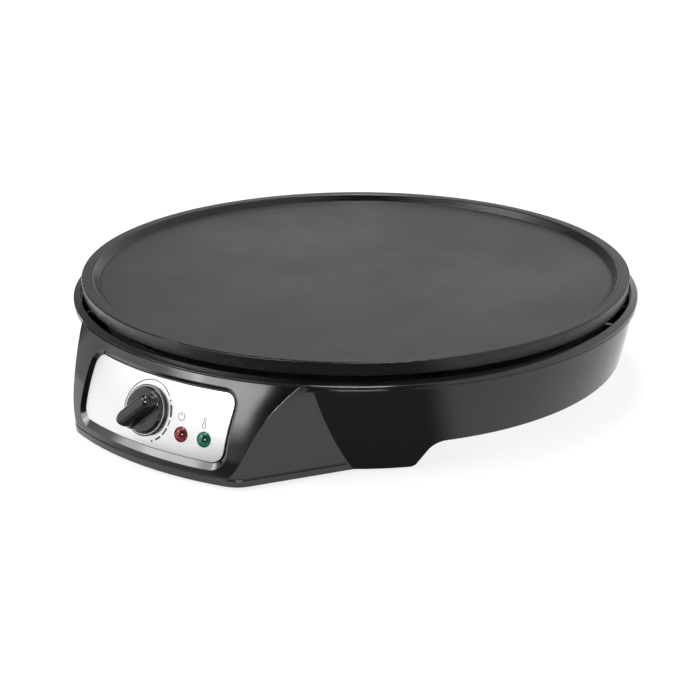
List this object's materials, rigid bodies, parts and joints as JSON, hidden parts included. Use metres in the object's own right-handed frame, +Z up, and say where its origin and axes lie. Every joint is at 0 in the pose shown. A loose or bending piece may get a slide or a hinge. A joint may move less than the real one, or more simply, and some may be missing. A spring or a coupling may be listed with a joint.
{
  "type": "electric crepe maker",
  "caption": "Round electric crepe maker: coated cast cooking plate on a low black housing with a front control pod, a turning knob and lamps.",
  "frame": {"origin": "on the table, under the middle of the footprint's bounding box", "axes": "+Z up, -Y towards the control pod and the user, +X to the user's right"},
  "size_m": [0.3146, 0.339, 0.059],
  "materials": {
    "black_gloss_plastic": "glossy moulded black",
    "black_plastic": "moulded black",
    "coated_plate": "dark non-stick coating on cast aluminium",
    "brushed_panel": "brushed, clear",
    "knob_plastic": "satin moulded black",
    "red_lens": "clear red",
    "green_lens": "clear green",
    "lamp_glass": "clear glass",
    "black_rubber": "matte",
    "sheet_steel": "plated",
    "element_steel": "dull",
    "screw_steel": "zinc plated",
    "copper_tube": "drawn copper",
    "live_insulation": "silicone, brown",
    "black_insulation": "silicone, black",
    "neutral_insulation": "silicone, blue",
    "earth_insulation": "silicone, green"
  },
  "bodies": {
    "base": {"housing": "black_gloss_plastic", "pod_cover": "black_plastic", "terminal_block": "black_plastic", "cord_clamp": "black_plastic", "cord_gland": "black_plastic", "thermostat_body": "black_plastic", "cooking_plate": "coated_plate", "control_panel": "brushed_panel", "red_lamp_lens": "red_lens", "green_lamp_lens": "green_lens", "red_lamp_body": "lamp_glass", "green_lamp_body": "lamp_glass", "rubber_feet": "black_rubber", "base_cover": "sheet_steel", "heat_shield": "sheet_steel", "element_clips": "sheet_steel", "bulb_clip": "sheet_steel", "fuse_clip": "sheet_steel", "thermostat_bracket": "sheet_steel", "lamp_nuts": "sheet_steel", "heating_element": "element_steel", "element_clip_screws": "screw_steel", "clip_screws": "screw_steel", "plate_screws": "screw_steel", "plate_spacers": "screw_steel", "base_cover_screws": "screw_steel", "pod_cover_screws": "screw_steel", "thermostat_screws": "screw_steel", "cord_clamp_screws": "screw_steel", "block_screw": "screw_steel", "earth_screw": "screw_steel", "element_terminals": "screw_steel", "thermal_fuse": "screw_steel", "thermostat_bulb": "copper_tube", "thermostat_capillary": "copper_tube", "live_wire": "live_insulation", "fuse_wire": "black_insulation", "heater_wire": "black_insulation", "lamp_wires": "black_insulation", "neutral_wire": "neutral_insulation", "earth_wire": "earth_insulation"},
    "knob": {"control_knob": "knob_plastic", "thermostat_shaft": "element_steel"}
  },
  "joints": [
    {"name": "knob_turn", "type": "hinge", "parent": "base", "child": "knob", "pos_m": [0, -0.15631, 0.0278], "axis": [0, 0.9224, -0.3863], "range_deg": [0, 270]}
  ]
}
